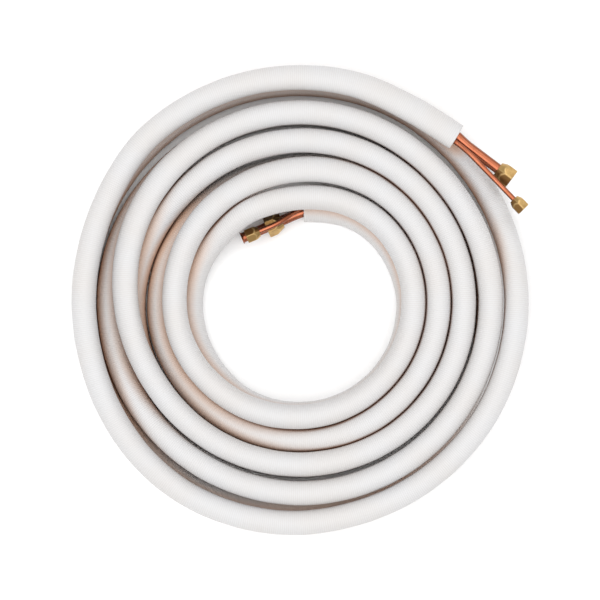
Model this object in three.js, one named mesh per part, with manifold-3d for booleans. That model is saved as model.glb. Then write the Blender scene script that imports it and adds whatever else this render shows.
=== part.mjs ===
// Mini split line set: two soft copper pipes in one foam sleeve, wound flat into a
// coil two levels high, with a brass flare nut on each of the four pipe ends.
// Millimetres, +Z up. The coil lies on the floor, and the origin is the middle of
// the footprint of the whole set.

import * as THREE from 'three';
import { mergeVertices } from 'three/addons/utils/BufferGeometryUtils.js';
import Module from 'manifold-3d';

const wasm = await Module();
wasm.setup();

// Copper pipes
const suctionPipeDiameter = 12.7;
const liquidPipeDiameter = 6.35;
const suctionPipeWall = 0.8;
const liquidPipeWall = 0.8;
const suctionFlareDiameter = 16.4;
const liquidFlareDiameter = 9.1;
const openBoreDepth = 12;
const suctionPipeSides = 8;
const liquidPipeSides = 6;

// Foam sleeve around both pipes, the small pipe above the large one
const sleeveWall = 7.55;
const boreClearance = 0.65;
const pipeGap = 0.5;
const sleeveSides = 12;

// Winding
const coilEyeRadius = 105;
const rowGap = 2.3;
const levelGap = 0.8;
const turnStep = 15;

// Flare nuts
const suctionNutFlats = 24;
const suctionNutLength = 21;
const suctionNutCollar = 7;
const suctionNutThreadBore = 18.4;
const suctionNutBackDiameter = 18;
const suctionNutTaper = 10.8;
const liquidNutFlats = 17;
const liquidNutLength = 17.5;
const liquidNutCollar = 6;
const liquidNutThreadBore = 10.8;
const liquidNutBackDiameter = 11.6;
const liquidNutTaper = 8;
const nutBoreClearance = 0.5;
const nutFrontChamfer = 0.9;
const nutSegments = 24;
const cutBeyond = 1;

// The route of the sleeve from its outer end to its inner end: the angle turned
// from +X in degrees, the row outwards from the eye of the coil, the level upwards
// from the floor, and the roll of the sleeve towards the eye in degrees.
const routeStations = [
  [46, 5.01, 0.95, 55],
  [60, 4.81, 1, 48],
  [75, 4.863, 1, 36],
  [115, 4.875, 1, 0],
  [135, 4.875, 1, 0],
  [150, 4.73, 1, 0],
  [162, 4.65, 1, 0],
  [190, 4.68, 1, 0],
  [215, 4.855, 1, 0],
  [237, 5.02, 1, 0],
  [262, 4.99, 1, 0],
  [287, 4.86, 1, 0],
  [325, 4.78, 1, 0],
  [350, 4.7, 0.96, 0],
  [375, 4.66, 0.4, 0],
  [398, 4.64, 0, 0],
  [420, 4.66, 0, 0],
  [600, 4.7, 0, 0],
  [660, 4.2, 0, 0],
  [720, 3.62, 0, 0],
  [740, 3.58, 0, 0],
  [800, 3.47, 0, 0],
  [840, 3.46, 0, 0],
  [880, 3.64, 0, 0],
  [905, 3.745, 0, 0],
  [932, 3.75, 0.45, 0],
  [960, 3.757, 1, 0],
  [990, 3.8, 1, 0],
  [1080, 3.66, 1, 0],
  [1126, 3.48, 1, 0],
  [1165, 3.51, 1, 0],
  [1187, 3.475, 1, 0],
  [1215, 3.4, 1, 28],
  [1240, 3.235, 1, 36],
  [1255, 3.08, 1, 30],
  [1275, 2.875, 1, 10],
  [1300, 2.71, 1, 0],
  [1342, 2.68, 1, 0],
  [1405, 2.68, 1, 0],
  [1440, 2.61, 1, 0],
  [1486, 2.49, 1, 0],
  [1525, 2.416, 1, 0],
  [1552, 2.37, 1, 0],
  [1575, 2.4, 0.76, 0],
  [1590, 2.5, 0.38, 0],
  [1603, 2.6, 0.14, 0],
  [1618, 2.74, 0, 0],
  [1635, 2.79, 0, 0],
  [1680, 2.78, 0, 0],
  [1800, 2.62, 0, 0],
  [1845, 2.04, 0, 0],
  [1890, 1.44, 0, 0],
  [1905, 1.37, 0, 0],
  [1935, 1.463, 0, 0],
  [1960, 1.62, 0, 0],
  [1980, 1.73, 0, 0],
  [1995, 1.79, 0.1, 0],
  [2020, 1.75, 0.26, 0],
  [2040, 1.735, 0.38, 0],
  [2060, 1.73, 0.52, 0],
  [2080, 1.74, 0.72, 0],
  [2112, 1.7, 1, 0],
  [2160, 1.627, 1, 0],
  [2206, 1.52, 1, 18],
  [2235, 1.37, 1, 34],
  [2255, 1.24, 1, 32],
  [2280, 1.15, 1, 16],
  [2300, 1.15, 1, 6],
  [2335, 1.11, 1, 0],
  [2355, 1.11, 1, 0],
  [2385, 0.99, 1, 0],
  [2435, 0.8, 1, 0],
  [2520, 0.64, 1, 0],
  [2545, 0.585, 1, 0],
  [2566, 0.494, 1, 0],
  [2595, 0.27, 1, 0],
  [2620, 0.13, 1, 0],
  [2640, 0.18, 0.97, 0],
  [2655, 0.21, 0.72, 0],
  [2670, 0.3, 0.4, 0],
  [2685, 0.42, 0.17, 0],
  [2705, 0.51, 0, 0],
  [2745, 0.66, 0, 0],
  [2757, 0.74, 0, 0],
  [2800, 0.72, 0, 0],
  [2880, 0.463, 0, 0],
  [2900, 0.308, 0.01, -5],
  [2919, 0.193, 0.012, -12],
  [2934, 0.073, 0.01, -19],
  [2951, -0.142, 0.005, -26],
  [2967.5, -0.29, 0, -30],
];

// Free pipe ends, each [forward, towards the eye, up] from the middle of the
// sleeve's end: where the straight length for the nut starts, and the pipe's mouth.
const outerSuctionRun = { straight: [22, 2.464, -1.9], mouth: [73, 7.2, -1.9] };
const outerLiquidRun = { straight: [40, 13.078, 12.4], mouth: [107, 30.2, 12.4] };
const innerSuctionRun = { straight: [15.97, 8.644, -3.3], mouth: [76.562, 36.32, -3.3] };
const innerLiquidRun = { straight: [39.876, 21.181, 20], mouth: [61.305, 30.605, 20] };
const innerSuctionNutBack = 45.5;
const freeRunSteps = 8;
const bendReach = 0.4;

// Sizes that follow
const suctionRadius = suctionPipeDiameter / 2;
const liquidRadius = liquidPipeDiameter / 2;
const boreWidth = suctionPipeDiameter + 2 * boreClearance;
const boreHeight = suctionPipeDiameter + liquidPipeDiameter + pipeGap + 2 * boreClearance;
const sleeveWidth = boreWidth + 2 * sleeveWall;
const sleeveHeight = boreHeight + 2 * sleeveWall;
const suctionOffset = -boreHeight / 2 + boreClearance + suctionRadius;
const liquidOffset = boreHeight / 2 - boreClearance - liquidRadius;

// Colours
const foamWhite = new THREE.MeshStandardMaterial({ color: 0xeeeeec, roughness: 0.75, metalness: 0 });
const copper = new THREE.MeshStandardMaterial({ color: 0xc87350, roughness: 0.35, metalness: 1 });
const brass = new THREE.MeshStandardMaterial({ color: 0xb99a5b, roughness: 0.4, metalness: 1 });

// A smooth curve of one column of the stations over the angle. It passes through
// each station, and it never swings past the two that it lies between.
function smoothColumn(column) {
  const at = routeStations.map((station) => station[0]);
  const value = routeStations.map((station) => station[column]);
  const last = at.length - 1;
  const rise = value.slice(1).map((next, i) => (next - value[i]) / (at[i + 1] - at[i]));
  const slope = value.map((_, i) => {
    if (i === 0) {
      return rise[0];
    }
    if (i === last) {
      return rise[last - 1];
    }
    const before = rise[i - 1];
    const after = rise[i];
    return before * after <= 0 ? 0 : (2 * before * after) / (before + after);
  });
  return (angle) => {
    const found = at.findIndex((knot, i) => i > 0 && angle <= knot);
    const i = (found < 0 ? last : found) - 1;
    const width = at[i + 1] - at[i];
    const s = (angle - at[i]) / width;
    const swing = width * s * (1 - s) * ((1 - s) * slope[i] - s * slope[i + 1]);
    const blend = s * s * (3 - 2 * s);
    return value[i] * (1 - blend) + value[i + 1] * blend + swing;
  };
}

// The places along the winding, each in the upright plane through the coil's axis.
// side points away from the axis, up points up, and roll turns the section.
function windingPlaces() {
  const row = smoothColumn(1);
  const level = smoothColumn(2);
  const roll = smoothColumn(3);
  const start = routeStations[0][0];
  const end = routeStations[routeStations.length - 1][0];
  const angles = [start];
  for (let turn = Math.ceil(start / turnStep) * turnStep; turn < end; turn += turnStep) {
    if (turn > start) {
      angles.push(turn);
    }
  }
  angles.push(end);
  return angles.map((angle) => {
    const turned = THREE.MathUtils.degToRad(angle);
    const side = new THREE.Vector3(Math.cos(turned), Math.sin(turned), 0);
    const radius = coilEyeRadius + sleeveWidth / 2 + row(angle) * (sleeveWidth + rowGap);
    const centre = side.clone().multiplyScalar(radius);
    centre.z = sleeveHeight / 2 + level(angle) * (sleeveHeight + levelGap);
    const up = new THREE.Vector3(0, 0, 1);
    return { centre, side, up, roll: THREE.MathUtils.degToRad(roll(angle)) };
  });
}

// A point of the section, moved by the roll towards the eye
function sectionPoint(place, x, y) {
  const cos = Math.cos(place.roll);
  const sin = Math.sin(place.roll);
  return place.centre
    .clone()
    .addScaledVector(place.side, x * cos - y * sin)
    .addScaledVector(place.up, x * sin + y * cos);
}

// A round section whose flats lie outside the oval, so that it stands on a flat
function sleeveOutline() {
  const reach = 1 / Math.cos(Math.PI / sleeveSides);
  return Array.from({ length: sleeveSides }, (_, i) => {
    const angle = ((i + 0.5) * 2 * Math.PI) / sleeveSides;
    return [(Math.cos(angle) * reach * sleeveWidth) / 2, (Math.sin(angle) * reach * sleeveHeight) / 2];
  });
}

// The bore holds the large pipe below and narrows round the small one above it
function boreOutline() {
  const wide = suctionRadius + boreClearance;
  const eighth = wide * Math.tan(Math.PI / 8);
  const top = boreHeight / 2;
  const topHalf = liquidRadius;
  return [
    [wide, suctionOffset - eighth],
    [wide, suctionOffset + eighth],
    [topHalf, top],
    [-topHalf, top],
    [-wide, suctionOffset + eighth],
    [-wide, suctionOffset - eighth],
    [-eighth, -top],
    [eighth, -top],
  ];
}

// Joins each ring of points to the next. Rings run side to up, so faces point out.
function joinRings(faces, first, next, count, inward) {
  for (let i = 0; i < count; i += 1) {
    const j = (i + 1) % count;
    if (inward) {
      faces.push(first + i, first + j, next + i, first + j, next + j, next + i);
    } else {
      faces.push(first + i, next + i, first + j, first + j, next + i, next + j);
    }
  }
}

function meshOf(points, faces) {
  const geometry = new THREE.BufferGeometry();
  const places = new Float32Array(points.flatMap((point) => [point.x, point.y, point.z]));
  geometry.setAttribute('position', new THREE.BufferAttribute(places, 3));
  geometry.setIndex(faces);
  return geometry;
}

// One closed skin through a row of rings with as many points each
function loftRings(rings) {
  const count = rings[0].length;
  const points = rings.flat();
  const faces = [];
  const last = (rings.length - 1) * count;
  for (let start = 0; start < last; start += count) {
    joinRings(faces, start, start + count, count, false);
  }
  for (let i = 1; i < count - 1; i += 1) {
    faces.push(0, i, i + 1);
    faces.push(last, last + i + 1, last + i);
  }
  return meshOf(points, faces);
}

// The sleeve: an oval skin and a bore, closed at both ends by a cut face
function sleeveGeometry(places) {
  const outer = sleeveOutline();
  const bore = boreOutline();
  const outerPoints = places.flatMap((place) => outer.map(([x, y]) => sectionPoint(place, x, y)));
  const borePoints = places.flatMap((place) => bore.map(([x, y]) => sectionPoint(place, x, y)));
  const faces = [];
  const boreStart = outerPoints.length;
  for (let i = 0; i < places.length - 1; i += 1) {
    joinRings(faces, i * outer.length, (i + 1) * outer.length, outer.length, false);
    joinRings(
      faces,
      boreStart + i * bore.length,
      boreStart + (i + 1) * bore.length,
      bore.length,
      true,
    );
  }
  const contour = outer.map(([x, y]) => new THREE.Vector2(x, y));
  const hole = bore.map(([x, y]) => new THREE.Vector2(x, y));
  const flat = [...contour, ...hole];
  const lastPlace = places.length - 1;
  const pointIndex = (corner, place) => (corner < outer.length
    ? place * outer.length + corner
    : boreStart + place * bore.length + corner - outer.length);
  for (const [a, b, c] of THREE.ShapeUtils.triangulateShape(contour, [hole])) {
    const left = flat[b].clone().sub(flat[a]).cross(flat[c].clone().sub(flat[a])) > 0;
    const [second, third] = left ? [b, c] : [c, b];
    faces.push(pointIndex(a, 0), pointIndex(second, 0), pointIndex(third, 0));
    faces.push(pointIndex(a, lastPlace), pointIndex(third, lastPlace), pointIndex(second, lastPlace));
  }
  return meshOf([...outerPoints, ...borePoints], faces);
}

// The frame at a cut end of the sleeve: forward leaves the sleeve, level with the
// floor, and inward points towards the eye.
function endFrame(place, neighbour) {
  const forward = place.centre.clone().sub(neighbour.centre);
  forward.z = 0;
  forward.normalize();
  const inward = new THREE.Vector3(-forward.y, forward.x, 0);
  if (inward.dot(place.side) > 0) {
    inward.negate();
  }
  return { origin: place.centre, forward, inward };
}

function pointInEnd(frame, [forward, inward, up]) {
  return frame.origin
    .clone()
    .addScaledVector(frame.forward, forward)
    .addScaledVector(frame.inward, inward)
    .add(new THREE.Vector3(0, 0, up));
}

// A free pipe end: one bend out of the sleeve, then a straight length to the mouth
function freeRun(frame, run, exit) {
  const straight = pointInEnd(frame, run.straight);
  const mouth = pointInEnd(frame, run.mouth);
  const axis = mouth.clone().sub(straight).normalize();
  const reach = exit.distanceTo(straight) * bendReach;
  const bend = new THREE.CubicBezierCurve3(
    exit,
    exit.clone().addScaledVector(frame.forward, reach),
    straight.clone().addScaledVector(axis, -reach),
    straight,
  );
  return { bend, straight, mouth, axis };
}

// A ring of a pipe at a point. travel is the way from the outer to the inner mouth.
function pipeRing(point, travel, radius, sides) {
  const side = new THREE.Vector3(travel.y, -travel.x, 0).normalize();
  const up = side.clone().cross(travel).normalize();
  return ringAround(point, side, up, radius, sides);
}

function ringAround(point, side, up, radius, sides) {
  return Array.from({ length: sides }, (_, i) => {
    const angle = ((i + 0.5) * 2 * Math.PI) / sides;
    return point
      .clone()
      .addScaledVector(side, Math.cos(angle) * radius)
      .addScaledVector(up, Math.sin(angle) * radius);
  });
}

// The rings of a free end, from deep in its open bore, out over the flared mouth
// and back along the outside to the sleeve. towardsMouth is 1 where the pipe's
// travel leads to this mouth, and -1 where it starts there.
function freeEndRings(run, pipe, towardsMouth) {
  const travel = run.axis.clone().multiplyScalar(towardsMouth);
  const flare = (pipe.flareDiameter - 2 * pipe.radius) / 2;
  const bore = pipe.radius - pipe.wall;
  const at = (back) => run.mouth.clone().addScaledVector(run.axis, -back);
  const rings = [
    pipeRing(at(openBoreDepth), travel, bore, pipe.sides),
    pipeRing(at(flare), travel, bore, pipe.sides),
    pipeRing(at(0), travel, bore + flare, pipe.sides),
    pipeRing(at(0), travel, pipe.radius + flare, pipe.sides),
    pipeRing(at(flare), travel, pipe.radius, pipe.sides),
    pipeRing(run.straight, travel, pipe.radius, pipe.sides),
  ];
  for (let i = freeRunSteps - 1; i > 0; i -= 1) {
    const s = i / freeRunSteps;
    const along = run.bend.getTangent(s).multiplyScalar(towardsMouth);
    rings.push(pipeRing(run.bend.getPoint(s), along, pipe.radius, pipe.sides));
  }
  return rings;
}

function pipeGeometry(places, pipe, outerRun, innerRun) {
  const wound = places.map((place) => ringAround(
    sectionPoint(place, 0, pipe.offset),
    place.side,
    place.up,
    pipe.radius,
    pipe.sides,
  ));
  const outer = freeEndRings(outerRun, pipe, -1);
  const inner = freeEndRings(innerRun, pipe, 1).reverse();
  return loftRings([...outer, ...wound, ...inner]);
}

function solidOf(geometry) {
  const bare = geometry.clone();
  bare.deleteAttribute('normal');
  bare.deleteAttribute('uv');
  const merged = mergeVertices(bare, 1e-4);
  return new wasm.Manifold(new wasm.Mesh({
    numProp: 3,
    vertProperties: Float32Array.from(merged.attributes.position.array),
    triVerts: Uint32Array.from(merged.index.array),
  }));
}

function geometryOf(solid) {
  const mesh = solid.getMesh();
  const geometry = new THREE.BufferGeometry();
  geometry.setAttribute('position', new THREE.BufferAttribute(mesh.vertProperties, 3));
  geometry.setIndex(new THREE.BufferAttribute(mesh.triVerts, 1));
  return geometry;
}

// Turned shapes have their axis along +Z: a profile of [radius, height] points
function turned(profile) {
  const lathe = new THREE.LatheGeometry(
    profile.map(([radius, height]) => new THREE.Vector2(radius, height)),
    nutSegments,
  );
  lathe.rotateX(Math.PI / 2);
  return lathe;
}

// A flare nut with its back face at the origin and its open front towards +Z: a
// tapered back, a collar that slides on the pipe, a cone that pulls the flare, and an
// open threaded bore.
function nutGeometry(nut, pipeRadius) {
  const cornerRadius = nut.flats / 2 / Math.cos(Math.PI / 6);
  const hex = new THREE.CylinderGeometry(cornerRadius, cornerRadius, nut.length, 6);
  hex.rotateX(Math.PI / 2);
  hex.translate(0, 0, nut.length / 2);
  const collarBore = pipeRadius + nutBoreClearance;
  const threadRadius = nut.threadBore / 2;
  const backRadius = nut.backDiameter / 2;
  const frontRadius = cornerRadius - nutFrontChamfer;
  const widest = cornerRadius + cutBeyond;
  const taperSlope = nut.taper / (cornerRadius - backRadius);
  const tapers = turned([
    [0, 0],
    [backRadius, 0],
    [widest, (widest - backRadius) * taperSlope],
    [widest, nut.length - nutFrontChamfer - cutBeyond],
    [frontRadius, nut.length],
    [0, nut.length],
  ]);
  const bore = turned([
    [0, -cutBeyond],
    [collarBore, -cutBeyond],
    [collarBore, nut.collar],
    [threadRadius, nut.collar + threadRadius - collarBore],
    [threadRadius, nut.length + cutBeyond],
    [0, nut.length + cutBeyond],
  ]);
  return geometryOf(solidOf(hex).intersect(solidOf(tapers)).subtract(solidOf(bore)));
}

// Puts a nut on a straight pipe end, its front towards the mouth. back is the
// distance of its back face from the mouth, and turn is how far one of its corners
// stands from straight up.
function placeNut(mesh, run, back, turn) {
  const up = new THREE.Vector3(0, 0, 1).applyAxisAngle(run.axis, turn);
  const across = up.clone().cross(run.axis).normalize();
  const basis = new THREE.Matrix4().makeBasis(across, run.axis.clone().cross(across), run.axis);
  mesh.quaternion.setFromRotationMatrix(basis);
  mesh.position.copy(run.mouth).addScaledVector(run.axis, -back);
}

function namedMesh(name, geometry, material) {
  const mesh = new THREE.Mesh(geometry, material);
  mesh.name = name;
  return mesh;
}

const suctionPipe = {
  radius: suctionRadius,
  wall: suctionPipeWall,
  flareDiameter: suctionFlareDiameter,
  offset: suctionOffset,
  sides: suctionPipeSides,
};
const liquidPipe = {
  radius: liquidRadius,
  wall: liquidPipeWall,
  flareDiameter: liquidFlareDiameter,
  offset: liquidOffset,
  sides: liquidPipeSides,
};
const suctionNut = {
  flats: suctionNutFlats,
  length: suctionNutLength,
  collar: suctionNutCollar,
  threadBore: suctionNutThreadBore,
  backDiameter: suctionNutBackDiameter,
  taper: suctionNutTaper,
};
const liquidNut = {
  flats: liquidNutFlats,
  length: liquidNutLength,
  collar: liquidNutCollar,
  threadBore: liquidNutThreadBore,
  backDiameter: liquidNutBackDiameter,
  taper: liquidNutTaper,
};

const places = windingPlaces();
const outerPlace = places[0];
const innerPlace = places[places.length - 1];
const outerFrame = endFrame(outerPlace, places[1]);
const innerFrame = endFrame(innerPlace, places[places.length - 2]);
const exitOf = (place, pipe) => sectionPoint(place, 0, pipe.offset);
const runs = {
  outerSuction: freeRun(outerFrame, outerSuctionRun, exitOf(outerPlace, suctionPipe)),
  outerLiquid: freeRun(outerFrame, outerLiquidRun, exitOf(outerPlace, liquidPipe)),
  innerSuction: freeRun(innerFrame, innerSuctionRun, exitOf(innerPlace, suctionPipe)),
  innerLiquid: freeRun(innerFrame, innerLiquidRun, exitOf(innerPlace, liquidPipe)),
};

const set = new THREE.Group();
set.add(namedMesh('insulation_sleeve', sleeveGeometry(places), foamWhite));
set.add(namedMesh(
  'suction_pipe',
  pipeGeometry(places, suctionPipe, runs.outerSuction, runs.innerSuction),
  copper,
));
set.add(namedMesh(
  'liquid_pipe',
  pipeGeometry(places, liquidPipe, runs.outerLiquid, runs.innerLiquid),
  copper,
));

// A nut that is home holds the flare in its cone
const homeBack = (nut, pipe) => nut.collar + (pipe.flareDiameter - 2 * pipe.radius) / 2;
const cornerUp = 0;
const flatUp = Math.PI / 6;
const nuts = [
  ['outer_suction_nut', suctionNut, suctionPipe, runs.outerSuction, 0, cornerUp],
  ['outer_liquid_nut', liquidNut, liquidPipe, runs.outerLiquid, 0, cornerUp],
  ['inner_suction_nut', suctionNut, suctionPipe, runs.innerSuction, innerSuctionNutBack, flatUp],
  ['inner_liquid_nut', liquidNut, liquidPipe, runs.innerLiquid, 0, cornerUp],
];
for (const [name, nut, pipe, run, pushedBack, turn] of nuts) {
  const mesh = namedMesh(name, nutGeometry(nut, pipe.radius), brass);
  placeNut(mesh, run, homeBack(nut, pipe) + pushedBack, turn);
  set.add(mesh);
}

// The middle of the footprint goes to the origin
const lineSet = new THREE.Group();
lineSet.add(set);
const box = new THREE.Box3().setFromObject(set, true);
const middle = box.getCenter(new THREE.Vector3());
set.position.set(-middle.x, -middle.y, -box.min.z);

export default lineSet;
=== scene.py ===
"""Mini split line set: two copper pipes in one ribbed foam sleeve, wound flat into a
coil two levels high, with a brass flare nut on each pipe end. Lengths are metres."""

import math

import bpy
import numpy as np
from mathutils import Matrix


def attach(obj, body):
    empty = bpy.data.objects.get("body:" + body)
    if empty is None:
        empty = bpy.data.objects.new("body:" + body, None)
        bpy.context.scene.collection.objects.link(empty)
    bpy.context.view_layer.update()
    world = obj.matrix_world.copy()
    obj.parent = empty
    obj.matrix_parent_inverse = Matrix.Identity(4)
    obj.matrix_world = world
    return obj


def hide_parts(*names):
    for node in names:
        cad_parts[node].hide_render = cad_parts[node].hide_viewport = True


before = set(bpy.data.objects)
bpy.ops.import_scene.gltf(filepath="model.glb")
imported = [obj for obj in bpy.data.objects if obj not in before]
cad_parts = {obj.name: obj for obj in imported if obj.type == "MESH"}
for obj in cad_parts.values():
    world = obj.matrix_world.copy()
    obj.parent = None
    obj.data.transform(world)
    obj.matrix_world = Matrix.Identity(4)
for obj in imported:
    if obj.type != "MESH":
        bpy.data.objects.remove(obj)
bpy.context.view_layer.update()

bl_info = {
    "name": "Mini split line set",
    "version": (1, 0, 0),
    "blender": (4, 5, 0),
    "location": "View3D > Sidebar > Line Set",
    "description": "Builds a coiled, insulated copper line set with its flare nuts",
    "category": "Object",
}

MM = 0.001

# The coil's own axis in the frame
COIL_AXIS = np.array([0.211, 0.973, 0.0]) * MM

# Winding of the sleeve
EYE_RADIUS = 105 * MM
SLEEVE_WIDTH = 29.1 * MM
SLEEVE_HEIGHT = 35.95 * MM
ROW_PITCH = 31.4 * MM
LEVEL_PITCH = 36.75 * MM
TURN_STEP = 15

# The places of the two pipes in the sleeve's section, upwards from its middle
SUCTION_OFFSET = -3.425 * MM
LIQUID_OFFSET = 6.6 * MM
BORE_CLEARANCE = 0.65 * MM

# Angle turned in degrees, row outwards from the eye, level upwards, roll towards the
# eye in degrees, from the outer end of the sleeve to its inner end
ROUTE = np.array([
    [46, 5.01, 0.95, 55], [60, 4.81, 1, 48], [75, 4.863, 1, 36], [115, 4.875, 1, 0],
    [135, 4.875, 1, 0], [150, 4.73, 1, 0], [162, 4.65, 1, 0], [190, 4.68, 1, 0],
    [215, 4.855, 1, 0], [237, 5.02, 1, 0], [262, 4.99, 1, 0], [287, 4.86, 1, 0],
    [325, 4.78, 1, 0], [350, 4.7, 0.96, 0], [375, 4.66, 0.4, 0], [398, 4.64, 0, 0],
    [420, 4.66, 0, 0], [600, 4.7, 0, 0], [660, 4.2, 0, 0], [720, 3.62, 0, 0],
    [740, 3.58, 0, 0], [800, 3.47, 0, 0], [840, 3.46, 0, 0], [880, 3.64, 0, 0],
    [905, 3.745, 0, 0], [932, 3.75, 0.45, 0], [960, 3.757, 1, 0], [990, 3.8, 1, 0],
    [1080, 3.66, 1, 0], [1126, 3.48, 1, 0], [1165, 3.51, 1, 0], [1187, 3.475, 1, 0],
    [1215, 3.4, 1, 28], [1240, 3.235, 1, 36], [1255, 3.08, 1, 30], [1275, 2.875, 1, 10],
    [1300, 2.71, 1, 0], [1342, 2.68, 1, 0], [1405, 2.68, 1, 0], [1440, 2.61, 1, 0],
    [1486, 2.49, 1, 0], [1525, 2.416, 1, 0], [1552, 2.37, 1, 0], [1575, 2.4, 0.76, 0],
    [1590, 2.5, 0.38, 0], [1603, 2.6, 0.14, 0], [1618, 2.74, 0, 0], [1635, 2.79, 0, 0],
    [1680, 2.78, 0, 0], [1800, 2.62, 0, 0], [1845, 2.04, 0, 0], [1890, 1.44, 0, 0],
    [1905, 1.37, 0, 0], [1935, 1.463, 0, 0], [1960, 1.62, 0, 0], [1980, 1.73, 0, 0],
    [1995, 1.79, 0.1, 0], [2020, 1.75, 0.26, 0], [2040, 1.735, 0.38, 0],
    [2060, 1.73, 0.52, 0], [2080, 1.74, 0.72, 0], [2112, 1.7, 1, 0], [2160, 1.627, 1, 0],
    [2206, 1.52, 1, 18], [2235, 1.37, 1, 34], [2255, 1.24, 1, 32], [2280, 1.15, 1, 16],
    [2300, 1.15, 1, 6], [2335, 1.11, 1, 0], [2355, 1.11, 1, 0], [2385, 0.99, 1, 0],
    [2435, 0.8, 1, 0], [2520, 0.64, 1, 0], [2545, 0.585, 1, 0], [2566, 0.494, 1, 0],
    [2595, 0.27, 1, 0], [2620, 0.13, 1, 0], [2640, 0.18, 0.97, 0], [2655, 0.21, 0.72, 0],
    [2670, 0.3, 0.4, 0], [2685, 0.42, 0.17, 0], [2705, 0.51, 0, 0], [2745, 0.66, 0, 0],
    [2757, 0.74, 0, 0], [2800, 0.72, 0, 0], [2880, 0.463, 0, 0], [2900, 0.308, 0.01, -5],
    [2919, 0.193, 0.012, -12], [2934, 0.073, 0.01, -19], [2951, -0.142, 0.005, -26],
    [2967.5, -0.29, 0, -30],
])

# Free pipe ends, each as forward, towards the eye, up from the middle of the sleeve's
# end: where the straight length for the nut starts, and the pipe's mouth
FREE_ENDS = {
    "outer_suction": ([22, 2.464, -1.9], [73, 7.2, -1.9]),
    "outer_liquid": ([40, 13.078, 12.4], [107, 30.2, 12.4]),
    "inner_suction": ([15.97, 8.644, -3.3], [76.562, 36.32, -3.3]),
    "inner_liquid": ([39.876, 21.181, 20], [61.305, 30.605, 20]),
}
BEND_REACH = 0.4
# How far inside the sleeve a free end starts to bend
BEND_INSIDE = 12 * MM

SUCTION_PIPE = {"radius": 6.35 * MM, "wall": 0.8 * MM, "flare": 1.85 * MM, "sides": 24}
LIQUID_PIPE = {"radius": 3.175 * MM, "wall": 0.8 * MM, "flare": 1.375 * MM, "sides": 18}
SUCTION_NUT = {
    "flats": 24 * MM, "length": 21 * MM, "collar": 7 * MM, "thread": 18.4 * MM,
    "pitch": 1.5875 * MM, "back": 18 * MM, "taper": 10.8 * MM, "pipe": SUCTION_PIPE,
}
LIQUID_NUT = {
    "flats": 17 * MM, "length": 17.5 * MM, "collar": 6 * MM, "thread": 10.8 * MM,
    "pitch": 1.27 * MM, "back": 11.6 * MM, "taper": 8 * MM, "pipe": LIQUID_PIPE,
}
NUT_BORE_CLEARANCE = 0.5 * MM
# Name, nut, free end, how far it is slid back from home, how far a corner is from up
NUTS = [
    ("outer_suction_nut", SUCTION_NUT, "outer_suction", 0.0, 0.0),
    ("outer_liquid_nut", LIQUID_NUT, "outer_liquid", 0.0, 0.0),
    ("inner_suction_nut", SUCTION_NUT, "inner_suction", 45.5 * MM, math.pi / 6),
    ("inner_liquid_nut", LIQUID_NUT, "inner_liquid", 0.0, 0.0),
]

# Mean radius of the sleeve's oval, and the run over which its swell grows from a cut end
MEAN_RADIUS = 16.2 * MM
SWELL_RUN = 20 * MM
# Gaps to the next turn over which each painted shade tint fades from full to nought, and
# the heights over which the painted shade under other turns fades
CONTACT_GAPS = 0.2 * MM, 3.2 * MM
SHELTER_GAPS = 2 * MM, 19 * MM
SHELTER_HEIGHTS = 38 * MM, 62 * MM
# Waves of the foam's unevenness: radians a metre along it, waves round it, phase
RIPPLE_WAVES = ((97, 2, 1.3), (163, -1, 0.4), (41, 3, 0.0))

# Scales of noise and cells, in cells a metre
RIB_WANDER_SCALE, PATCH_SCALE, DENT_SCALE = 60.0, 14.0, 70.0
FOAM_GRAIN_SCALE, CELL_SCALE = 700.0, 900.0
OXIDE_SCALE, BRASS_FILM_SCALE, PIT_SCALE = 55.0, 160.0, 1400.0
TABLE_GRAIN_SCALE = 3.0
# Drawn lines in the copper, in cells a metre along it and cells round it
DRAWN_LINES = 9.0, 90.0
# Depths of bumps
CELL_DEPTH, DENT_DEPTH = 0.4 * MM, 0.4 * MM
DRAWN_LINE_DEPTH = 0.04 * MM
TURNING_PITCH, TURNING_DEPTH = 0.4 * MM, 0.008 * MM
PIT_DEPTH = 0.03 * MM

# Studio: the camera's place over the coil, its sensor, the height at which its field is
# measured, and half the table's side
CAMERA_AT = 0.2 * MM, -0.3 * MM
SENSOR = 36.0
FIELD_HEIGHT = 55 * MM
TABLE_HALF = 4.0
# Name, setting that holds its strength, then spread, tilt and swing in degrees
LAMPS = (("overhead_light", "overhead", 70, 12, -35), ("side_light", "side", 40, 50, 150))


# Route


def station_column(angles, column):
    """One column of ROUTE at these angles: each stretch is a cubic through its two
    stations, and each station's slope is the harmonic mean of the rises beside it,
    or nought where they differ in sign."""
    at, value = ROUTE[:, 0], ROUTE[:, column]
    rise = np.diff(value) / np.diff(at)
    before, after = rise[:-1], rise[1:]
    same_way = before * after > 0
    slope = np.empty(len(at))
    slope[0], slope[-1] = rise[0], rise[-1]
    slope[1:-1] = np.where(
        same_way, 2 * before * after / np.where(same_way, before + after, 1), 0
    )
    i = np.clip(np.searchsorted(at, angles) - 1, 0, len(at) - 2)
    width = at[i + 1] - at[i]
    s = (angles - at[i]) / width
    blend = s * s * (3 - 2 * s)
    swing = width * s * (1 - s) * ((1 - s) * slope[i] - s * slope[i + 1])
    return value[i] * (1 - blend) + value[i + 1] * blend + swing


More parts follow.
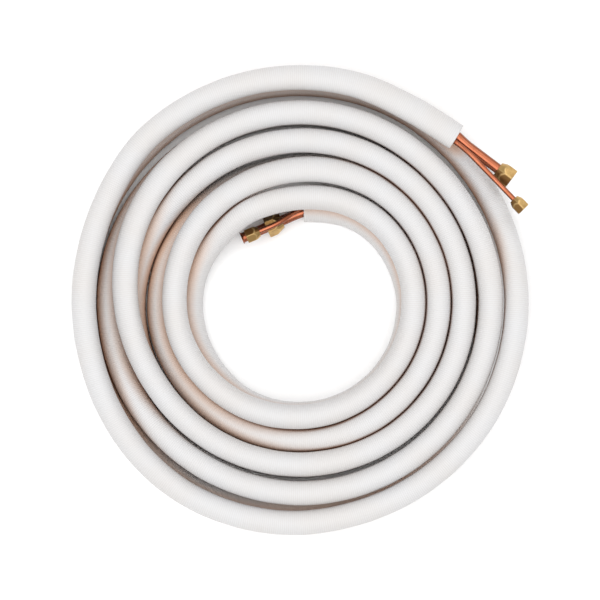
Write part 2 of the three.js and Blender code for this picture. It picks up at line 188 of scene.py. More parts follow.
def curve_through(knots, values, at):
    """A cubic through the values at the knots. The slope at a knot is the mean of the
    chords beside it, each weighted by the other's width, and the first and last
    slopes are those of the first and last chords."""
    width = np.diff(knots)
    chord = np.diff(values, axis=0) / width[:, None]
    slope = np.empty_like(values)
    slope[0], slope[-1] = chord[0], chord[-1]
    share = (width[1:] / (width[1:] + width[:-1]))[:, None]
    slope[1:-1] = chord[:-1] * share + chord[1:] * (1 - share)
    i = np.clip(np.searchsorted(knots, at) - 1, 0, len(knots) - 2)
    w = width[i][:, None]
    s = ((at - knots[i])[:, None]) / w
    return (
        values[i] * (1 + 2 * s) * (1 - s) ** 2
        + values[i + 1] * s * s * (3 - 2 * s)
        + slope[i] * w * s * (1 - s) ** 2
        - slope[i + 1] * w * s * s * (1 - s)
    )


def unit(vectors):
    """The same directions, one metre long."""
    return vectors / np.linalg.norm(vectors, axis=-1, keepdims=True)


def arc_length(points):
    """Distance along a line of points, from its first point."""
    steps = np.linalg.norm(np.diff(points, axis=0), axis=1)
    return np.concatenate([[0.0], np.cumsum(steps)])


def moving_frame(points):
    """Tangent, side and up at each point of a line: the tangent is the central
    difference, side is tangent x vertical, and up is side x tangent."""
    tangent = unit(np.gradient(points, arc_length(points), axis=0))
    side = unit(np.cross(tangent, [0.0, 0.0, 1.0]))
    return tangent, side, np.cross(side, tangent)


def wind_sleeve():
    """Centre line of the sleeve, its roll, and the two ring centres at each end."""
    first, last = ROUTE[0, 0], ROUTE[-1, 0]
    inner = np.arange(math.ceil(first / TURN_STEP) * TURN_STEP, last, TURN_STEP)
    knots = np.concatenate([[first], inner, [last]])
    turned = np.radians(knots)
    radius = EYE_RADIUS + SLEEVE_WIDTH / 2 + station_column(knots, 1) * ROW_PITCH
    height = SLEEVE_HEIGHT / 2 + station_column(knots, 2) * LEVEL_PITCH
    rings = np.stack([np.cos(turned) * radius, np.sin(turned) * radius, height], axis=1)
    rings = rings + COIL_AXIS
    roll = np.radians(station_column(knots, 3))
    at = np.linspace(first, last, 6000)
    fine = curve_through(knots, np.column_stack([rings, roll]), at)
    return fine[:, :3], fine[:, 3], rings


def free_end(rings, name):
    """Straight start, mouth and axis of a free pipe end. Forward leaves the sleeve
    level with the floor, and inward is square to it, towards the eye."""
    outer = name.startswith("outer")
    end, neighbour = (rings[0], rings[1]) if outer else (rings[-1], rings[-2])
    forward = unit((end - neighbour) * [1, 1, 0])
    inward = np.array([-forward[1], forward[0], 0.0])
    if inward @ (end - COIL_AXIS) > 0:
        inward = -inward
    basis = np.array([forward, inward, [0.0, 0.0, 1.0]])
    straight, mouth = (end + np.array(p) * MM @ basis for p in FREE_ENDS[name])
    return straight, mouth, unit(mouth - straight)


def bend(start, start_way, finish, finish_way):
    """Cubic Bezier from start to finish with both handles a share of the distance."""
    reach = np.linalg.norm(finish - start) * BEND_REACH
    handles = start, start + start_way * reach, finish - finish_way * reach, finish
    s = np.linspace(0, 1, 60)[1:-1, None]
    weights = (1 - s) ** 3, 3 * s * (1 - s) ** 2, 3 * s * s * (1 - s), s**3
    return sum(w * h for w, h in zip(weights, handles))


def pipe_line(offset, kind):
    """Centre line of a pipe from its outer mouth, through the sleeve at its offset in
    the rolled section, to its inner mouth."""
    centre, roll, rings = wind_sleeve()
    tangent, side, up = moving_frame(centre)
    inside = centre + offset * (
        up * np.cos(roll)[:, None] - side * np.sin(roll)[:, None]
    )
    along = arc_length(centre)
    first, last = np.searchsorted(along, [BEND_INSIDE, along[-1] - BEND_INSIDE])
    ends = []
    for place, start, way in (
        ("outer", first, -tangent[first]),
        ("inner", last, tangent[last]),
    ):
        straight, mouth, axis = free_end(rings, f"{place}_{kind}")
        curve = bend(inside[start], way, straight, axis)
        run = np.linspace(straight, mouth, 60)
        ends.append(np.concatenate([curve, run]))
    wound = inside[first : last + 1]
    return np.concatenate([ends[0][::-1], wound, ends[1]]), len(ends[0])


# Meshes


def sweep(line, rows_at, sections):
    """Carries a section along a line: point = centre + side * x + up * y, where centre,
    side and up are read off the line at each row's distance."""
    along = arc_length(line)
    _, side, up = moving_frame(line)
    centre, side, up = (
        np.stack([np.interp(rows_at, along, values[:, k]) for k in range(3)], axis=1)
        for values in (line, side, up)
    )
    side, up = unit(side), unit(up)
    x, y = sections[..., 0], sections[..., 1]
    return (
        centre[:, None, :] + side[:, None, :] * x[..., None] + up[:, None, :] * y[..., None]
    )


def grid_mesh(name, points, along, material, closed, attributes=()):
    """A mesh of the grid's rows and columns, whose columns close into rings. A closed
    grid's last row joins its first, and an open one gets a fan at each end. The map
    skin has metres along the piece in u and the share round it in v."""
    rows, columns = points.shape[:2]
    row = np.arange(rows if closed else rows - 1)[:, None] + np.zeros((1, columns), int)
    column = np.arange(columns)[None, :] + np.zeros_like(row)
    next_row, next_column = (row + 1) % rows, (column + 1) % columns
    quads = np.stack(
        [
            row * columns + column,
            next_row * columns + column,
            next_row * columns + next_column,
            row * columns + next_column,
        ],
        axis=-1,
    ).reshape(-1, 4)
    u = np.stack([along[row], along[next_row], along[next_row], along[row]], axis=-1)
    v = np.stack([column, column, column + 1, column + 1], axis=-1) / columns
    vertices = points.reshape(-1, 3)
    faces = quads.tolist()
    uv = np.stack([u, v], axis=-1).reshape(-1, 2)
    if not closed:
        pole = len(vertices)
        vertices = np.concatenate([vertices, points[:1].mean(1), points[-1:].mean(1)])
        ring = np.arange(columns)
        ahead = (ring + 1) % columns
        last = (rows - 1) * columns
        start_fan = np.stack([np.full(columns, pole), ring, ahead], axis=1)
        end_fan = np.stack([np.full(columns, pole + 1), last + ahead, last + ring], axis=1)
        faces += start_fan.tolist() + end_fan.tolist()
        fan_u = np.repeat([along[0], along[-1]], 3 * columns)
        uv = np.concatenate([uv, np.column_stack([fan_u, np.zeros_like(fan_u)])])
    mesh = bpy.data.meshes.new(name)
    mesh.from_pydata(vertices.tolist(), [], faces)
    mesh.shade_smooth()
    layer = mesh.uv_layers.new(name="skin")
    layer.data.foreach_set("uv", uv.astype(np.float32).ravel())
    for label, values in attributes:
        padded = np.zeros(len(vertices), np.float32)
        padded[: values.size] = values.ravel()
        mesh.attributes.new(label, "FLOAT", "POINT").data.foreach_set("value", padded)
    mesh.materials.append(material)
    mesh.validate()
    mesh.update()
    piece = bpy.data.objects.new(name, mesh)
    bpy.context.scene.collection.objects.link(piece)
    return piece


def oval(angles, inset, swell=0.0):
    """The sleeve's outline: an ellipse drawn in by the inset and broadened by the
    swell."""
    inset, swell = np.asarray(inset)[..., None], np.asarray(swell)[..., None]
    return np.stack(
        [
            (SLEEVE_WIDTH / 2 - inset + swell) * np.cos(angles),
            (SLEEVE_HEIGHT / 2 - inset) * np.sin(angles),
        ],
        axis=-1,
    )


def bore_outline(angles, swell):
    """The bore's outline: the hull of a circle round each pipe. Along each direction
    it is the farthest of the discs that lead from one circle to the other."""
    share = np.linspace(0, 1, 41)[:, None]
    middle = SUCTION_OFFSET + (LIQUID_OFFSET - SUCTION_OFFSET) * share
    wide, narrow = SUCTION_PIPE["radius"], LIQUID_PIPE["radius"]
    radius = wide + (narrow - wide) * share + BORE_CLEARANCE + swell
    towards = middle * np.sin(angles)
    rest = radius**2 - (middle * np.cos(angles)) ** 2
    reach = np.where(rest > 0, towards + np.sqrt(np.maximum(rest, 0)), 0).max(0)
    return np.stack([reach * np.cos(angles), reach * np.sin(angles)], axis=-1)


def fade(values, full, nought):
    """1 at full, 0 at nought, and a smooth cubic between them."""
    share = np.clip((nought - values) / (nought - full), 0, 1)
    return share * share * (3 - 2 * share)


def nearest_turn(points, at, centre, centre_at):
    """For each point of the skin, the nearest centre of another turn: one that lies
    farther than the own stretch along the route."""
    own_stretch, block_rows, far = 150 * MM, 120, 1.0
    result = np.empty(points.shape)
    spots = centre.astype(np.float32)
    square = (spots**2).sum(1)
    for start in range(0, len(points), block_rows):
        block = points[start : start + block_rows].astype(np.float32)
        flat = block.reshape(-1, 3)
        gap = (flat**2).sum(1)[:, None] + square - 2 * flat @ spots.T
        gap = gap.reshape(*block.shape[:2], -1)
        same = np.abs(at[start : start + block_rows, None] - centre_at) < own_stretch
        nearest = np.where(same[:, None, :], far, gap).argmin(-1)
        result[start : start + block_rows] = centre[nearest]
    return result


def press(points, middle, tangent, other, slack):
    """Flattens the skin where two turns press together. Each point is drawn back along
    the line between the two middles, in the plane of the section, to half of the
    distance between them less half the slack."""
    middle, tangent = middle[:, None, :], tangent[:, None, :]
    across = other - middle
    across = across - tangent * (across * tangent).sum(-1, keepdims=True)
    half = np.linalg.norm(across, axis=-1, keepdims=True) / 2
    across = across / (2 * half)
    excess = ((points - middle) * across).sum(-1, keepdims=True) - half + slack / 2
    return points - across * np.maximum(excess, 0)


# Materials


class Nodes:
    """A short way to write a material's nodes."""

    def __init__(self, name):
        self.material = bpy.data.materials.new(name)
        self.material.use_nodes = True
        self.tree = self.material.node_tree
        self.tree.nodes.clear()
        output = self.add("OutputMaterial")
        self.shader = self.add("BsdfPrincipled")
        self.tree.links.new(self.shader.outputs[0], output.inputs["Surface"])

    def add(self, kind, inputs=None, **settings):
        node = self.tree.nodes.new("ShaderNode" + kind)
        for key, value in settings.items():
            setattr(node, key, value)
        for key, value in (inputs or {}).items():
            if isinstance(value, bpy.types.NodeSocket):
                self.tree.links.new(value, node.inputs[key])
            else:
                node.inputs[key].default_value = value
        return node

    def math(self, operation, *values):
        return self.add("Math", dict(enumerate(values)), operation=operation).outputs[0]

    def mix(self, share, first, second):
        node = self.add("Mix", {0: share, 6: first, 7: second}, data_type="RGBA")
        return node.outputs[2]

    def noise(self, vector, scale, detail=2.0, roughness=0.5):
        inputs = {"Vector": vector, "Scale": scale, "Detail": detail, "Roughness": roughness}
        return self.add("TexNoise", inputs).outputs[0]

    def ramp(self, value, low, high):
        inputs = {"Value": value, "From Min": low, "From Max": high}
        return self.add("MapRange", inputs).outputs[0]

    def bump(self, height, distance, under=None):
        inputs = {"Height": height, "Distance": distance, "Strength": 1.0}
        if under is not None:
            inputs["Normal"] = under
        return self.add("Bump", inputs).outputs[0]

    def link(self, socket, value):
        self.tree.links.new(value, self.shader.inputs[socket])


def rgba(colour):
    """The colour with full cover, as sockets take it."""
    return (*colour, 1.0)


def foam_material(settings):
    """White polyethylene foam under a thin ribbed film: cross ribs with painted shade in their
    valleys, soft patches of warmer white, painted brown shade under and between the turns,
    and open cells on the cut ends."""
    m = Nodes("ribbed_foam_sleeve")
    place = m.add("TexCoord").outputs["Object"]
    skin = m.add("SeparateXYZ", {0: m.add("UVMap", uv_map="skin").outputs[0]})
    wander = m.noise(place, RIB_WANDER_SCALE)
    phase = m.math("MULTIPLY", skin.outputs[0], 2 * math.pi / settings.rib_pitch)
    phase = m.math("ADD", phase, m.math("MULTIPLY", wander, 3.0))
    rib = m.ramp(m.math("SINE", phase), -1.0, 1.0)
    contact = m.add("Attribute", attribute_name="contact").outputs["Fac"]
    shelter = m.add("Attribute", attribute_name="shelter").outputs["Fac"]
    cut = m.add("Attribute", attribute_name="cut_face").outputs["Fac"]
    patch = m.ramp(m.noise(place, PATCH_SCALE, 3.0), 0.35, 0.65)
    colour = m.mix(patch, rgba(settings.foam_colour), rgba(settings.foam_warm))
    # Painted shade: the rib valleys are mixed towards the dark brown gap shade colour.
    valley = m.math("MULTIPLY", m.math("SUBTRACT", 1.0, rib), settings.rib_shade)
    colour = m.mix(valley, colour, rgba(settings.gap_shade_colour))
    # Painted shade: brown on the flanks that lie under other turns, darker brown where turns
    # meet.
    colour = m.mix(shelter, colour, rgba(settings.shelter_shade_colour))
    colour = m.mix(contact, colour, rgba(settings.gap_shade_colour))
    cells = m.add("TexVoronoi", {"Vector": place, "Scale": CELL_SCALE}).outputs["Distance"]
    colour = m.mix(cut, colour, rgba(settings.cut_colour))
    m.link("Base Color", colour)
    grain = m.noise(place, FOAM_GRAIN_SCALE)
    m.link("Roughness", m.math("ADD", m.math("MULTIPLY", grain, 0.15), 0.55))
    m.shader.inputs["Specular IOR Level"].default_value = 0.35
    smooth_rib = m.math("MULTIPLY", rib, m.math("SUBTRACT", 1.0, cut))
    normal = m.bump(smooth_rib, settings.rib_depth)
    normal = m.bump(m.math("MULTIPLY", cells, cut), CELL_DEPTH, normal)
    normal = m.bump(m.noise(place, DENT_SCALE), DENT_DEPTH, normal)
    m.link("Normal", normal)
    return m.material


def copper_material(settings):
    """Soft-drawn copper: faint lines along the pipe, patches of darker oxide, and painted
    shade darkening both sides of the pipe."""
    m = Nodes("drawn_copper")
    place = m.add("TexCoord").outputs["Object"]
    skin = m.add("SeparateXYZ", {0: m.add("UVMap", uv_map="skin").outputs[0]})
    scaled = {k: m.math("MULTIPLY", skin.outputs[k], DRAWN_LINES[k]) for k in (0, 1)}
    stretched = m.add("CombineXYZ", scaled).outputs[0]
    lines = m.noise(stretched, 1.0, 3.0)
    film = m.ramp(m.noise(place, OXIDE_SCALE, 4.0, 0.6), 0.4, 0.75)
    colour = m.mix(film, rgba(settings.copper_colour), rgba(settings.oxide_colour))
    colour = m.mix(m.math("MULTIPLY", lines, 0.35), colour, rgba(settings.oxide_colour))
    # Painted shade: the pipe's two sides are mixed towards the side shade colour, while its top
    # and bottom stay bright.
    sides = m.math("COSINE", m.math("MULTIPLY", skin.outputs[1], 4 * math.pi))
    sides = m.math("MULTIPLY", m.ramp(sides, -0.5, 1.0), settings.side_shade)
    colour = m.mix(sides, colour, rgba(settings.side_shade_colour))
    m.link("Base Color", colour)
    m.shader.inputs["Metallic"].default_value = 1.0
    rough = m.math("ADD", m.math("MULTIPLY", film, 0.16), settings.copper_roughness)
    m.link("Roughness", rough)
    m.link("Normal", m.bump(lines, DRAWN_LINE_DEPTH))
    return m.material


def brass_material(settings):
    """Forged and machined brass: worn light edges, patches of darker tarnish and painted
    shade on the flats that face the coil's body, fine turning marks and small pits."""
    m = Nodes("machined_brass")
    place = m.add("TexCoord").outputs["Object"]
    edge = m.add("Attribute", attribute_name="edge").outputs["Fac"]
    film = m.ramp(m.noise(place, BRASS_FILM_SCALE, 4.0, 0.6), 0.35, 0.7)
    shade = m.add("Attribute", attribute_name="shade").outputs["Fac"]
    # Painted shade: the shade attribute darkens whole flats towards the tarnish colour, on top
    # of the random tarnish.
    film = m.math("MAXIMUM", shade, m.math("MULTIPLY", film, 0.45))
    colour = m.mix(film, rgba(settings.brass_colour), rgba(settings.tarnish_and_shade_colour))
    colour = m.mix(m.math("MULTIPLY", edge, 0.6), colour, rgba(settings.edge_colour))
    m.link("Base Color", colour)
    m.shader.inputs["Metallic"].default_value = 1.0
    rough = m.math("ADD", m.math("MULTIPLY", film, 0.14), settings.brass_roughness)
    m.link("Roughness", rough)
    skin = m.add("SeparateXYZ", {0: m.add("UVMap", uv_map="skin").outputs[0]})
    marks = m.math("SINE", m.math("MULTIPLY", skin.outputs[0], 2 * math.pi / TURNING_PITCH))
    normal = m.bump(marks, TURNING_DEPTH)
    normal = m.bump(m.noise(place, PIT_SCALE), PIT_DEPTH, normal)
    m.link("Normal", normal)
    return m.material


def floor_material(settings):
    """Plain pale studio table with a barely visible grain."""
    m = Nodes("pale_table")
    place = m.add("TexCoord").outputs["Object"]
    grain = m.noise(place, TABLE_GRAIN_SCALE)
    colour = m.mix(grain, rgba(settings.floor_colour), rgba(settings.grain_colour))
    m.link("Base Color", colour)
    m.shader.inputs["Roughness"].default_value = 0.9
    return m.material


# Pieces


def make_sleeve(settings):
    """The sleeve as one closed grid: the oval outside from end to end, a rounded cut
    edge, the cut face, the bore all the way back, and the same at the other end. The
    outside is drawn in by a mean of sines along and round it, and pressed flat where
    turns meet."""
    centre, roll, _ = wind_sleeve()
    along = arc_length(centre)
    length = along[-1]
    angles = np.linspace(0, 2 * math.pi, settings.around, endpoint=False)
    round_off = settings.edge_radius
    steps = int(length / settings.step)
    outer_at = np.linspace(round_off, length - round_off, steps)
    turn = np.radians([22.5, 45.0, 67.5, 90.0])
    edge_inset = round_off * (1 - np.cos(turn))
    edge_at = round_off * (1 - np.sin(turn))
    bore_at = np.arange(length - 2 * MM, 2 * MM, -3 * settings.step)
    face = oval(angles, round_off)
    mouth = bore_outline(angles, 0.4 * MM)
    bore = bore_outline(angles, 0.0)
    cut = [face + (mouth - face) * share for share in (0.34, 0.67, 1.0)]
    waves = sum(
        np.sin(outer_at[:, None] * along_wave + angles * round_wave + phase)
        for along_wave, round_wave, phase in RIPPLE_WAVES
    )
    ripple = (waves / len(RIPPLE_WAVES) + 1) / 2 * settings.ripple
    side = np.stack([np.cos(angles), np.sin(angles)], axis=-1)
    from_end = np.minimum(outer_at, length - outer_at)
    swell = settings.swell * (1 - fade(from_end, round_off, SWELL_RUN))
    outside = oval(angles, np.zeros(steps), swell) - side * ripple[..., None]
    rows_at = np.concatenate([
        outer_at, length - edge_at, [length] * 3, [length - 0.5 * MM], bore_at,
        [0.5 * MM], [0.0] * 3, edge_at[::-1],
    ])
    sections = np.concatenate([
        outside, oval(angles, edge_inset), cut, [bore] * (len(bore_at) + 2), cut[::-1],
        oval(angles, edge_inset[::-1]),
    ])
    lean = np.interp(rows_at, along, roll)[:, None]
    x, y = sections[..., 0], sections[..., 1]
    cosine, sine = np.cos(lean), np.sin(lean)
    rolled = np.stack([x * cosine - y * sine, x * sine + y * cosine], axis=-1)
    points = sweep(centre, rows_at, rolled)
    sparse = slice(None, None, 3)
    skin = points[:steps]
    other = nearest_turn(skin, outer_at, centre[sparse], along[sparse])
    row_middle = sweep(centre, outer_at, np.zeros((steps, 1, 2)))[:, 0]
    row_tangent = moving_frame(row_middle)[0]
    skin[:] = press(skin, row_middle, row_tangent, other, settings.slack)
    room = np.linalg.norm(skin - other, axis=-1) - MEAN_RADIUS
    contact, shelter, cut_face = np.zeros((3, *points.shape[:2]), np.float32)
    # Painted shade masks: full where the skin nearly touches another turn, and on low flanks
    # near another turn, fading with the gap and the height.
    contact[:steps] = fade(room, *CONTACT_GAPS)
    shelter[:steps] = fade(room, *SHELTER_GAPS) * fade(skin[..., 2], *SHELTER_HEIGHTS)
    edge = len(turn)
    cut_face[steps + edge - 1 : steps + edge + 4] = 1
    cut_face[len(points) - edge - 4 : len(points) - edge + 1] = 1
    piece = grid_mesh(
        "ribbed_sleeve", points, rows_at, foam_material(settings), True,
        [("contact", contact), ("shelter", shelter), ("cut_face", cut_face)],
    )
    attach(piece, "coil")
    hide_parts("insulation_sleeve")


def flare_rows(pipe):
    """Distance back from the mouth and radius, from deep in the bore, over the lip and
    back outside. The flare rises as fast as it nears the mouth, from a soft corner:
    rise = half of (reach + root of (reach squared + corner squared)), where reach is
    how far the row is past the flare's start."""
    flare, wall = pipe["flare"], pipe["wall"]
    corner = 0.4 * MM
    back = np.concatenate([[30 * MM, 12 * MM], np.linspace(flare + 2 * MM, 0.12 * MM, 12)])
    reach = flare - back
    rise = (reach + np.sqrt(reach**2 + corner**2)) / 2
    bore = pipe["radius"] - wall + rise
    outside = pipe["radius"] + rise
    lip_back = np.array([0.02, 0.0, 0.0, 0.02]) * MM
    lip = bore[-1] + wall * np.array([0.15, 0.35, 0.65, 0.85])
    at = np.concatenate([back, lip_back, back[:1:-1]])
    radius = np.concatenate([bore, lip, outside[:1:-1]])
    return at, radius


def make_pipe(name, node, pipe, offset, kind, material):
    """A pipe as rings along its line, open and flared at both mouths. The rings stand
    closer on the free ends."""
    line, free_points = pipe_line(offset, kind)
    along = arc_length(line)
    length = along[-1]
    back, radius = flare_rows(pipe)
    fine, coarse = 2 * MM, 10 * MM
    start_free = along[free_points] + coarse
    end_free = along[-free_points] - coarse
    clear = back[-1] + 1 * MM
    middle = np.concatenate([
        np.arange(clear, start_free, fine),
        np.arange(start_free, end_free, coarse),
        np.arange(end_free, length - clear, fine),
    ])
    rows_at = np.concatenate([back, middle, length - back[::-1]])
    radii = np.concatenate([radius, np.full(len(middle), pipe["radius"]), radius[::-1]])
    angles = np.linspace(0, 2 * math.pi, pipe["sides"], endpoint=False)
    circle = np.stack([np.cos(angles), np.sin(angles)], axis=-1)
    points = sweep(line, rows_at, radii[:, None, None] * circle)
    piece = grid_mesh(name, points, rows_at, material, False)
    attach(piece, "coil")
    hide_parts(node)


def soft_least(first, second, softness):
    """The lesser of two lengths with a rounded edge between them."""
    gap = first - second
    return (first + second - np.sqrt(gap**2 + softness**2)) / 2


def nut_rows(nut, angles):
    """Radius and height of each row and column. Outside, the radius is the softened
    least of the hexagon (half the flats over the cosine of the angle from the nearest
    flat), a corner cylinder and a cone at each end. Inside, the thread's radius swings
    in a triangle wave of height plus its pitch times the share of a turn."""
    half, length = nut["flats"] / 2, nut["length"]
    row_step, hexagon_ease, cone_ease, edge_ease = 0.3 * MM, 0.25 * MM, 0.3 * MM, 0.35 * MM
    front_cut, wear_width, ridge_width = 0.9 * MM, 0.5 * MM, 0.05
    thread_depth, lead_in, bevel = 0.75 * MM, 1.2 * MM, 0.4 * MM
    from_flat = np.mod(angles + math.pi / 6, math.pi / 3) - math.pi / 6
    hexagon = half / np.cos(from_flat)
    corner = half / math.cos(math.pi / 6)
    corner_cylinder = np.full_like(hexagon, corner - 0.05 * MM)
    hexagon = soft_least(hexagon, corner_cylinder, hexagon_ease)
    thread, collar_bore = nut["thread"] / 2, nut["pipe"]["radius"] + NUT_BORE_CLEARANCE
    height = np.linspace(0, length, int(length / row_step))[:, None]
    back_radius = nut["back"] / 2
    back_cone = back_radius + (corner - back_radius) / nut["taper"] * height
    front_cone = corner - front_cut + length - height
    cone = soft_least(back_cone, front_cone, cone_ease)
    outside = soft_least(hexagon + 0 * height, cone, edge_ease)
    rim = np.exp(-(((hexagon - cone) / wear_width) ** 2))
    ridge = np.exp(-(((np.abs(from_flat) - math.pi / 6) / ridge_width) ** 2))
    high = height + 0 * hexagon
    seat = nut["collar"] + thread - collar_bore
    deep = np.arange(length - 0.1 * MM, seat, -nut["pitch"] / 6)[:, None]
    wave = np.abs(np.mod(deep / nut["pitch"] - angles / (2 * math.pi), 1.0) * 2 - 1)
    entry = np.clip((length - deep) / lead_in, 0, 1)
    threads = thread - wave * thread_depth * entry + (1 - entry) * bevel
    flat = np.zeros_like(angles)
    front = [outside[-1] + (threads[0] - outside[-1]) * s for s in (0.06, 0.5, 0.94)]
    bevelled = collar_bore + bevel
    cone_at = [seat, nut["collar"] + row_step, nut["collar"] - row_step, bevel]
    cone_radius = [thread, bevelled, collar_bore, collar_bore]
    back = [bevelled + (outside[0] - bevelled) * s for s in (0, 0.5, 0.94)]
    radius = np.concatenate([
        outside, front, threads, [flat + r for r in cone_radius], [flat + r for r in back],
    ])
    level = np.concatenate([
        high, [flat + length] * 3, deep + 0 * angles, [flat + h for h in cone_at], [flat] * 3,
    ])
    wear = np.zeros_like(radius)
    wear[: len(outside)] = np.maximum(rim, ridge)
    return radius, level, wear


def make_nut(name, nut, end_name, slid_back, turn, material):
    """A flare nut as one closed grid, placed on its pipe's straight end. Its painted shade is
    darker the more a flat faces the coil's body, by a share of the cosine."""
    _, _, rings = wind_sleeve()
    _, mouth, axis = free_end(rings, end_name)
    up = np.array([0.0, 0.0, 1.0])
    across = np.cross(up, axis)
    up, across = (
        up * math.cos(turn) + np.cross(axis, up) * math.sin(turn),
        across * math.cos(turn) + np.cross(axis, across) * math.sin(turn),
    )
    angles = np.linspace(0, 2 * math.pi, 120, endpoint=False)
    radius, level, wear = nut_rows(nut, angles)
    home = nut["collar"] + nut["pipe"]["flare"] + slid_back
    points = (
        mouth
        + axis * (level - home)[..., None]
        + (across * np.cos(angles)[:, None] + up * np.sin(angles)[:, None]) * radius[..., None]
    )
    along = arc_length(np.stack([radius[:, 0], level[:, 0]], axis=1))
    # Painted shade on each flat: darker the more it faces away from the open side, with a
    # darker base on the inner nuts.
    outwards = unit((mouth - COIL_AXIS) * [1, 1, 0])
    inner = end_name.startswith("inner")
    open_side, base_shade = (-outwards, 0.85) if inner else (outwards, 0.45)
    flat = np.round(angles / (math.pi / 3)) * (math.pi / 3)
    facing = np.cos(flat) * (across @ open_side) + np.sin(flat) * (up @ open_side)
    shade = np.clip(base_shade - 0.9 * facing, 0, 1) + 0 * radius
    layers = [("edge", wear), ("shade", shade)]
    piece = grid_mesh(f"brass_{name}", points, along, material, True, layers)
    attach(piece, name)
    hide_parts(name)


def make_studio(settings):
    """Camera straight above the coil, a pale table and soft light from overhead."""
    scene = bpy.context.scene
    camera = bpy.data.objects.new("camera", bpy.data.cameras.new("camera"))
    scene.collection.objects.link(camera)
    camera.location = (*CAMERA_AT, settings.camera_height)
    camera.data.sensor_width = SENSOR
    camera.data.lens = SENSOR * (settings.camera_height - FIELD_HEIGHT) / settings.field
    camera.data.clip_end = 100.0
    scene.camera = camera
    half = TABLE_HALF
    mesh = bpy.data.meshes.new("table")
    corners = [(-half, -half, 0), (half, -half, 0), (half, half, 0), (-half, half, 0)]
    mesh.from_pydata(corners, [], [(0, 1, 2, 3)])
    mesh.materials.append(floor_material(settings))
    table = bpy.data.objects.new("table", mesh)
    scene.collection.objects.link(table)
    for name, strength, spread, tilt, swing in LAMPS:
        light = bpy.data.lights.new(name, "SUN")
        light.energy = getattr(settings, strength)
        light.angle = math.radians(spread)
        lamp = bpy.data.objects.new(name, light)
        lamp.rotation_euler = (math.radians(tilt), 0, math.radians(swing))
        scene.collection.objects.link(lamp)
    world = bpy.data.worlds.new("studio")
    world.use_nodes = True
    background = world.node_tree.nodes["Background"]
    background.inputs["Color"].default_value = rgba((1.0, 1.0, 1.0))
    background.inputs["Strength"].default_value = settings.fill
    scene.world = world
    scene.view_settings.view_transform = "Standard"


# Settings, operators and panel


def length_prop(name, description, default):
    """A size in metres that a user can set."""
    return bpy.props.FloatProperty(
        name=name, description=description, default=default, unit="LENGTH", precision=5
    )


def colour_prop(name, description, default):
    """A colour that a user can set."""
    return bpy.props.FloatVectorProperty(
        name=name, description=description, default=default, size=3, subtype="COLOR",
        min=0.0, max=1.0,
    )


def factor_prop(name, description, default):
    """A plain number that a user can set."""
    return bpy.props.FloatProperty(
        name=name, description=description, default=default, min=0.0, subtype="FACTOR"
    )


class SleeveSettings(bpy.types.PropertyGroup):
    step: length_prop("Step", "Distance between the rings of the sleeve's skin", 0.0055)
    around: bpy.props.IntProperty(
        name="Points around", description="Points in each ring of the sleeve", default=36
    )
    edge_radius: length_prop("Cut edge", "Rounding of the sleeve's cut edge", 0.0009)
    ripple: length_prop("Ripple", "Depth of the foam's soft unevenness", 0.00035)
    swell: length_prop("Swell", "How far the pressed foam bulges sideways", 0.0007)
    slack: length_prop("Slack", "Least gap between pressed turns", 0.0003)
    rib_pitch: length_prop("Rib pitch", "Distance from one cross rib to the next", 0.0025)
    rib_depth: length_prop("Rib depth", "Depth of the cross ribs", 0.00024)
    rib_shade: factor_prop("Rib shade", "How far a rib's valley takes the gap colour", 0.10)
    foam_colour: colour_prop("Foam", "Colour of the foam", (0.615, 0.617, 0.624))
    foam_warm: colour_prop("Warm foam", "Colour of its warmer patches", (0.612, 0.60, 0.592))
    # Painted shade colours: brown for flanks under other turns, dark brown for rib valleys and
    # where turns meet.
    shelter_shade_colour: colour_prop("Shelter", "Foam colour under other turns", (0.56, 0.38, 0.28))
    gap_shade_colour: colour_prop("Gap", "Foam colour where turns meet", (0.25, 0.125, 0.075))
    cut_colour: colour_prop("Cut end", "Colour of the cut foam", (0.60, 0.585, 0.565))


class PipeSettings(bpy.types.PropertyGroup):
    copper_colour: colour_prop("Copper", "Colour of bright copper", (0.41, 0.142, 0.079))
    oxide_colour: colour_prop("Oxide", "Colour of dull copper", (0.34, 0.10, 0.045))
    # Painted shade on both sides of the pipe: its colour and strength.
    side_shade_colour: colour_prop("Film", "Colour of the film on its sides", (0.13, 0.034, 0.014))
    side_shade: factor_prop("Side film", "Strength of the film on its sides", 0.8)
    copper_roughness: factor_prop("Roughness", "Roughness of bright copper", 0.24)


class NutSettings(bpy.types.PropertyGroup):
    brass_colour: colour_prop("Brass", "Colour of bright brass", (0.52, 0.34, 0.135))
    # Tarnish colour, also used as the painted shade on the flats that face the coil's body.
    tarnish_and_shade_colour: colour_prop("Tarnish", "Colour of dull brass", (0.17, 0.085, 0.028))
    edge_colour: colour_prop("Edges", "Colour of worn edges", (0.62, 0.44, 0.20))
    brass_roughness: factor_prop("Roughness", "Roughness of bright brass", 0.27)


class StudioSettings(bpy.types.PropertyGroup):
    camera_height: length_prop("Camera height", "Height of the camera", 6.0)
    field: length_prop("Field", "Width that the camera sees on top of the coil", 0.738)
    floor_colour: colour_prop("Table", "Colour of the table", (0.93, 0.93, 0.93))
    grain_colour: colour_prop("Table grain", "Colour of its faint grain", (0.97, 0.97, 0.97))
    overhead: factor_prop("Overhead light", "Strength of the light overhead", 2.0)
    side: factor_prop("Side light", "Strength of the light from the side", 0.5)
    fill: factor_prop("Fill light", "Strength of the light all round", 0.75)


class LINESET_OT_make_studio(bpy.types.Operator):
    """Make the camera, the table and the lights"""

    bl_idname = "lineset.make_studio"
    bl_label = "Make Studio"

    def execute(self, context):
        make_studio(context.scene.line_set_studio)
        return {"FINISHED"}


class LINESET_OT_make_sleeve(bpy.types.Operator):
    """Wind the ribbed foam sleeve round both pipes"""

    bl_idname = "lineset.make_sleeve"
    bl_label = "Make Sleeve"

    def execute(self, context):
        make_sleeve(context.scene.line_set_sleeve)
        return {"FINISHED"}


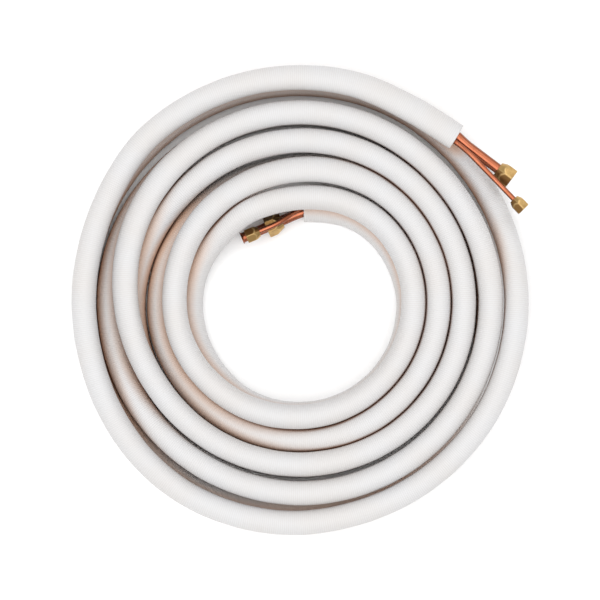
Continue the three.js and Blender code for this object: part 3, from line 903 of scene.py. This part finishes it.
class LINESET_OT_make_pipes(bpy.types.Operator):
    """Lay the suction and liquid pipes through the sleeve"""

    bl_idname = "lineset.make_pipes"
    bl_label = "Make Pipes"

    def execute(self, context):
        copper = copper_material(context.scene.line_set_pipes)
        make_pipe(
            "large_copper_pipe", "suction_pipe", SUCTION_PIPE, SUCTION_OFFSET, "suction", copper
        )
        make_pipe(
            "small_copper_pipe", "liquid_pipe", LIQUID_PIPE, LIQUID_OFFSET, "liquid", copper
        )
        return {"FINISHED"}


class LINESET_OT_make_nuts(bpy.types.Operator):
    """Put the four flare nuts on the pipe ends"""

    bl_idname = "lineset.make_nuts"
    bl_label = "Make Flare Nuts"

    def execute(self, context):
        brass = brass_material(context.scene.line_set_nuts)
        for row in NUTS:
            make_nut(*row, brass)
        return {"FINISHED"}


class LINESET_PT_panel(bpy.types.Panel):
    """Lists the steps that build the line set"""

    bl_idname = "LINESET_PT_panel"
    bl_label = "Line Set"
    bl_space_type = "VIEW_3D"
    bl_region_type = "UI"
    bl_category = "Line Set"

    def draw(self, context):
        for operator, group in STEPS:
            self.layout.operator(operator.bl_idname)
            settings = getattr(context.scene, group)
            for key in settings.__annotations__:
                self.layout.prop(settings, key)


STEPS = [
    (LINESET_OT_make_studio, "line_set_studio"),
    (LINESET_OT_make_sleeve, "line_set_sleeve"),
    (LINESET_OT_make_pipes, "line_set_pipes"),
    (LINESET_OT_make_nuts, "line_set_nuts"),
]
GROUPS = {
    "line_set_studio": StudioSettings,
    "line_set_sleeve": SleeveSettings,
    "line_set_pipes": PipeSettings,
    "line_set_nuts": NutSettings,
}


def register():
    for group in GROUPS.values():
        bpy.utils.register_class(group)
    for key, group in GROUPS.items():
        setattr(bpy.types.Scene, key, bpy.props.PointerProperty(type=group))
    for operator, _ in STEPS:
        bpy.utils.register_class(operator)
    bpy.utils.register_class(LINESET_PT_panel)


def unregister():
    bpy.utils.unregister_class(LINESET_PT_panel)
    for operator, _ in reversed(STEPS):
        bpy.utils.unregister_class(operator)
    for key, group in GROUPS.items():
        delattr(bpy.types.Scene, key)
        bpy.utils.unregister_class(group)


def main():
    register()
    for make in (
        bpy.ops.lineset.make_studio,
        bpy.ops.lineset.make_sleeve,
        bpy.ops.lineset.make_pipes,
        bpy.ops.lineset.make_nuts,
    ):
        if "FINISHED" not in make():
            raise RuntimeError("a step of the line set did not finish")


if __name__ == "__main__":
    main()
